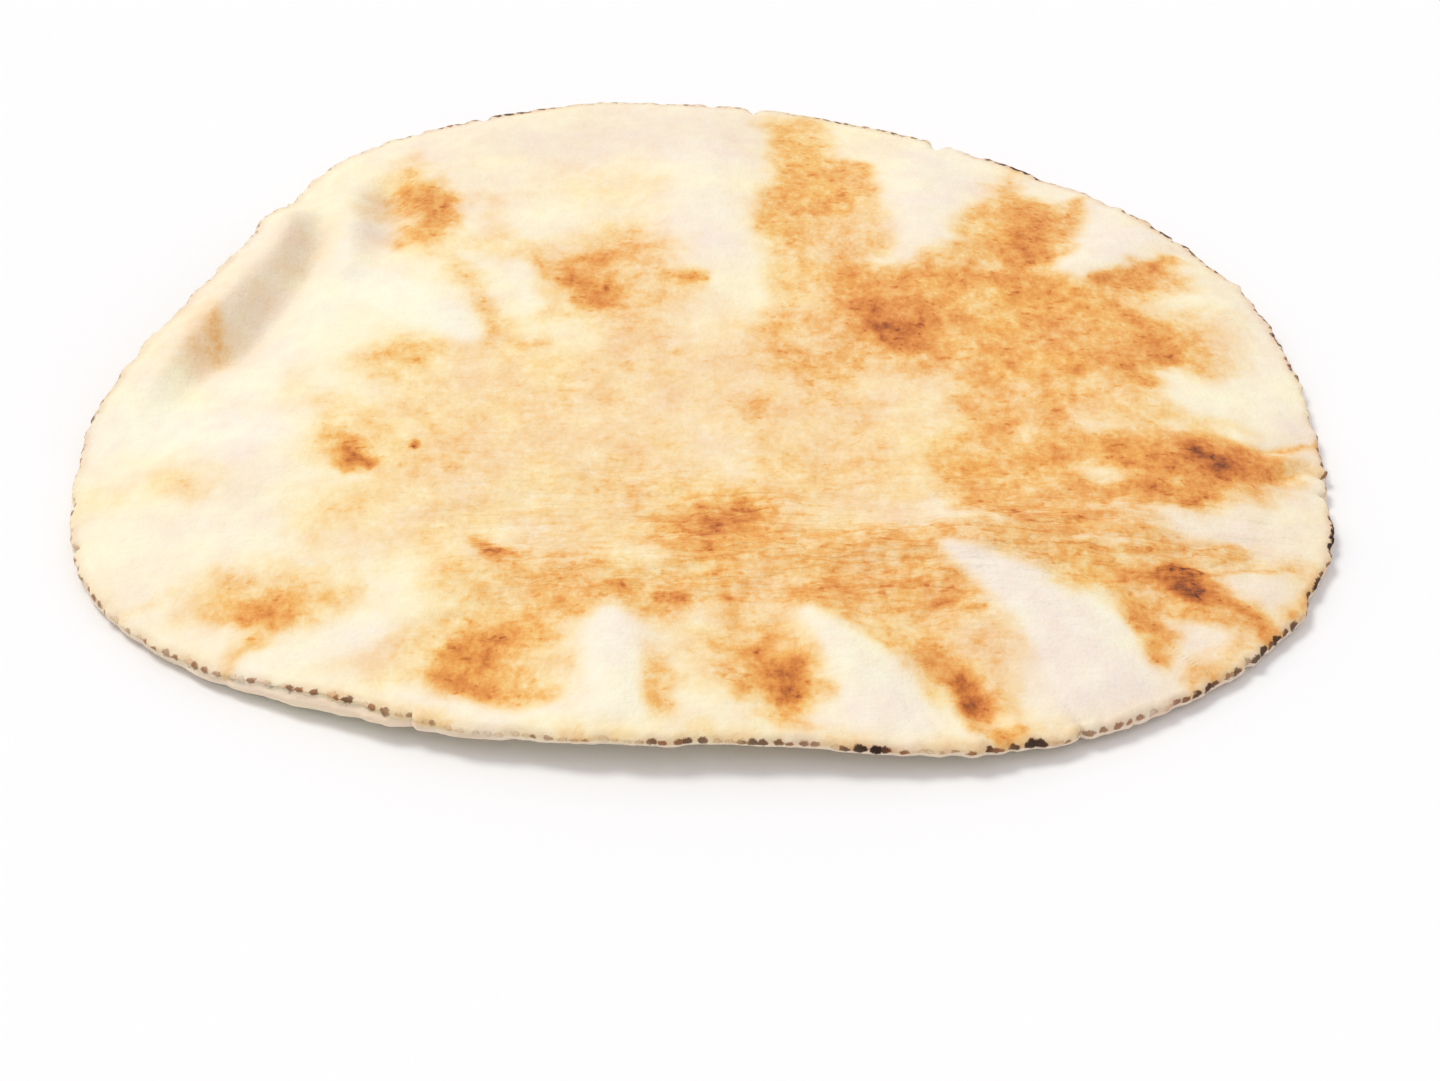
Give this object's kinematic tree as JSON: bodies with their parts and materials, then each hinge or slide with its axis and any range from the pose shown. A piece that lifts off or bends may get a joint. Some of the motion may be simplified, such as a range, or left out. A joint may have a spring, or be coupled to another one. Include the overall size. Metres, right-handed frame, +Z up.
{
  "type": "pita bread",
  "caption": "Large round pita: a thin two-skin flatbread lying flat, toasted in patches, with one side of its rim curled up and a charred, pinched edge.",
  "frame": {"origin": "middle of the bread's own box in plan, on the surface it lies on", "axes": "+Z up through the thickness, +X along the long side of the bread with the curled lip at the back left, +Y towards the back"},
  "size_m": [0.279, 0.27, 0.0153],
  "materials": {
    "crust": "dry matt flour crust, cream with golden and brown toasted patches"
  },
  "bodies": {
    "root": {"pita_bread": "crust"}
  },
  "joints": []
}
